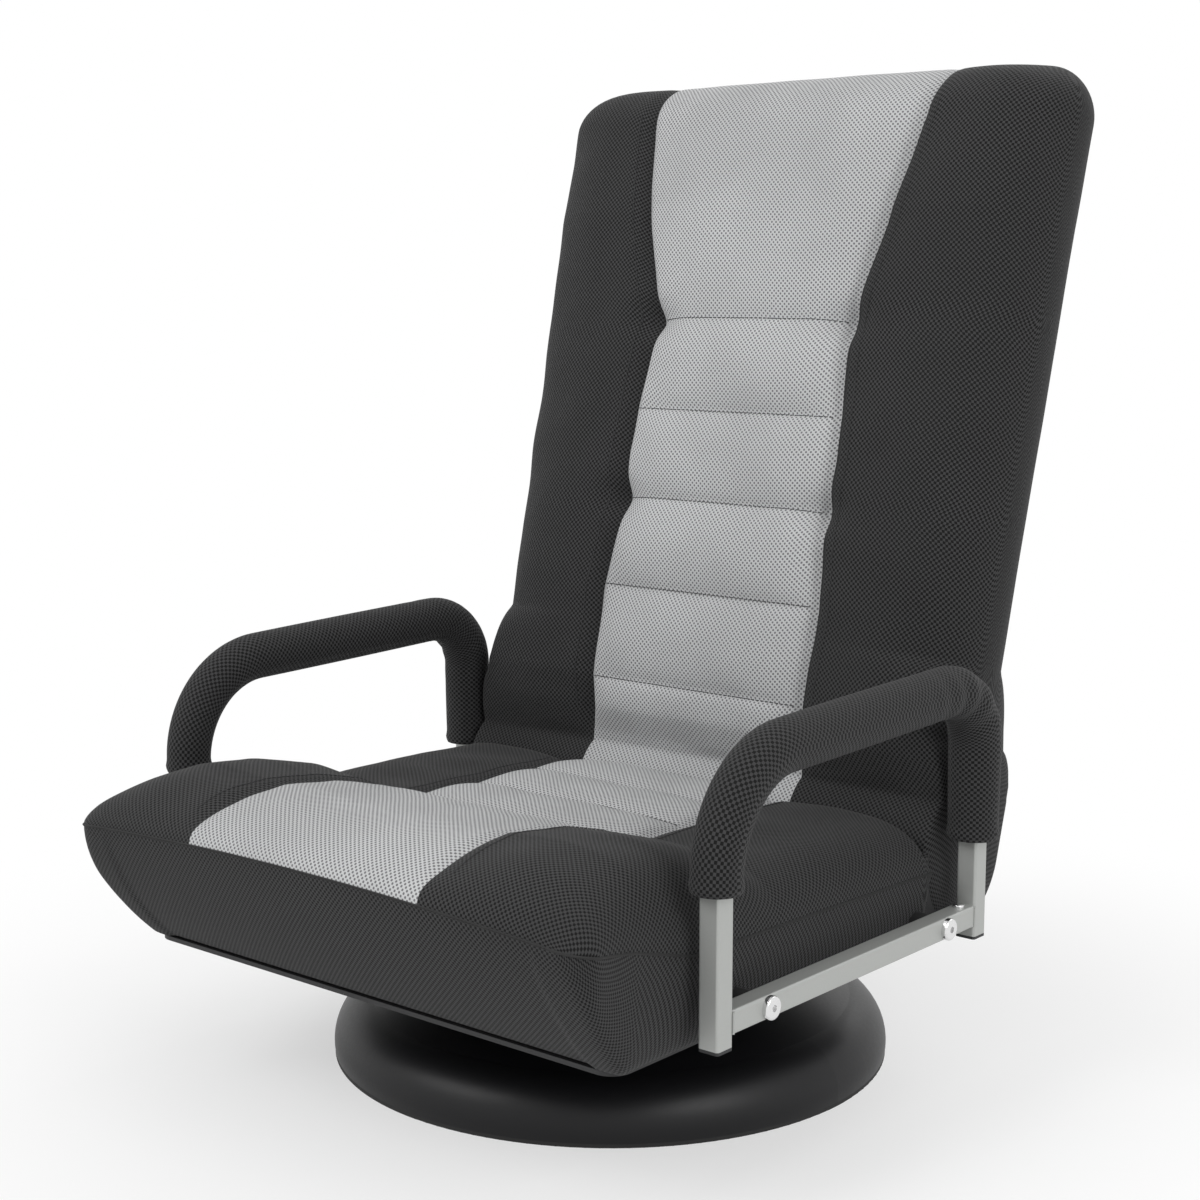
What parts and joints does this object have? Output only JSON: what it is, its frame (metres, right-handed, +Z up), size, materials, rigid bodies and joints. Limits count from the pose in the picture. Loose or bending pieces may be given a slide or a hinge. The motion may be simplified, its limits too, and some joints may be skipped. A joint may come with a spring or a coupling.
{
  "type": "floor_gaming_chair",
  "caption": "Floor gaming chair with a round swivel base, a reclining padded back and two padded loop armrests.",
  "frame": {"origin": "on the floor, on the swivel axis", "axes": "+Z up, the chair faces -Y, +X is the sitter's left"},
  "size_m": [0.512, 0.6018, 0.711],
  "materials": {
    "black_mesh": "air mesh",
    "foam": "foam",
    "black_paint": "satin",
    "silver_paint": "satin",
    "frame_steel": "plain",
    "bright_screw": "polished",
    "black_rubber": "matte",
    "black_plastic": "matte"
  },
  "bodies": {
    "base": {"base_shell": "black_paint", "floor_pad": "black_rubber", "lower_race": "frame_steel", "swivel_rivet": "frame_steel", "base_bolts": "frame_steel"},
    "ball_cage": {"race_balls": "frame_steel", "ball_retainer": "frame_steel"},
    "seat": {"upper_race": "frame_steel", "race_bolts": "frame_steel", "seat_riser": "black_plastic", "seat_bottom_panel": "black_plastic", "seat_side_tube_left": "frame_steel", "seat_side_tube_right": "frame_steel", "seat_front_tube": "frame_steel", "seat_rear_tube": "frame_steel", "seat_cross_tubes": "frame_steel", "hinge_seat_plate_left": "frame_steel", "hinge_seat_plate_right": "frame_steel", "hinge_pin_left": "frame_steel", "hinge_pin_right": "frame_steel", "seat_cover": "black_mesh", "seat_foam": "foam", "cover_zip": "black_mesh", "arm_loop_left": "silver_paint", "arm_loop_right": "silver_paint", "arm_rail_left": "silver_paint", "arm_rail_right": "silver_paint", "arm_sleeve_left": "black_mesh", "arm_sleeve_right": "black_mesh", "arm_bolts_left": "bright_screw", "arm_bolts_right": "bright_screw", "arm_spacers_left": "frame_steel", "arm_spacers_right": "frame_steel", "post_end_caps_left": "black_plastic", "post_end_caps_right": "black_plastic", "rail_screw_left": "bright_screw", "rail_screw_right": "bright_screw"},
    "back": {"back_side_tube_left": "frame_steel", "back_side_tube_right": "frame_steel", "back_top_tube": "frame_steel", "back_cross_tubes": "frame_steel", "hinge_back_plate_left": "frame_steel", "hinge_back_plate_right": "frame_steel", "pawl_pin_left": "frame_steel", "pawl_pin_right": "frame_steel", "back_cover": "black_mesh", "back_foam": "foam"},
    "pawl_l": {"pawl_left": "frame_steel"},
    "pawl_r": {"pawl_right": "frame_steel"}
  },
  "joints": [
    {"name": "swivel", "type": "hinge", "parent": "base", "child": "seat", "pos_m": [0, 0, 0.067], "axis": [0, 0, 1], "continuous": true},
    {"name": "cage_turn", "type": "hinge", "parent": "base", "child": "ball_cage", "pos_m": [0, 0, 0.067], "axis": [0, 0, 1], "continuous": true},
    {"name": "recline", "type": "hinge", "parent": "seat", "child": "back", "pos_m": [0, 0.128, 0.152], "axis": [-1, 0, 0], "range_deg": [-14, 76]},
    {"name": "pawl_lift_left", "type": "hinge", "parent": "back", "child": "pawl_l", "pos_m": [0.2125, 0.13524, 0.21409], "axis": [-1, 0, 0], "range_deg": [0, 14], "stiffness_Nm_per_rad": 0.05},
    {"name": "pawl_lift_right", "type": "hinge", "parent": "back", "child": "pawl_r", "pos_m": [-0.2125, 0.13524, 0.21409], "axis": [-1, 0, 0], "range_deg": [0, 14], "stiffness_Nm_per_rad": 0.05}
  ],
  "couplings": [
    {"joint": "cage_turn", "follows": "swivel", "ratio": 0.5}
  ]
}
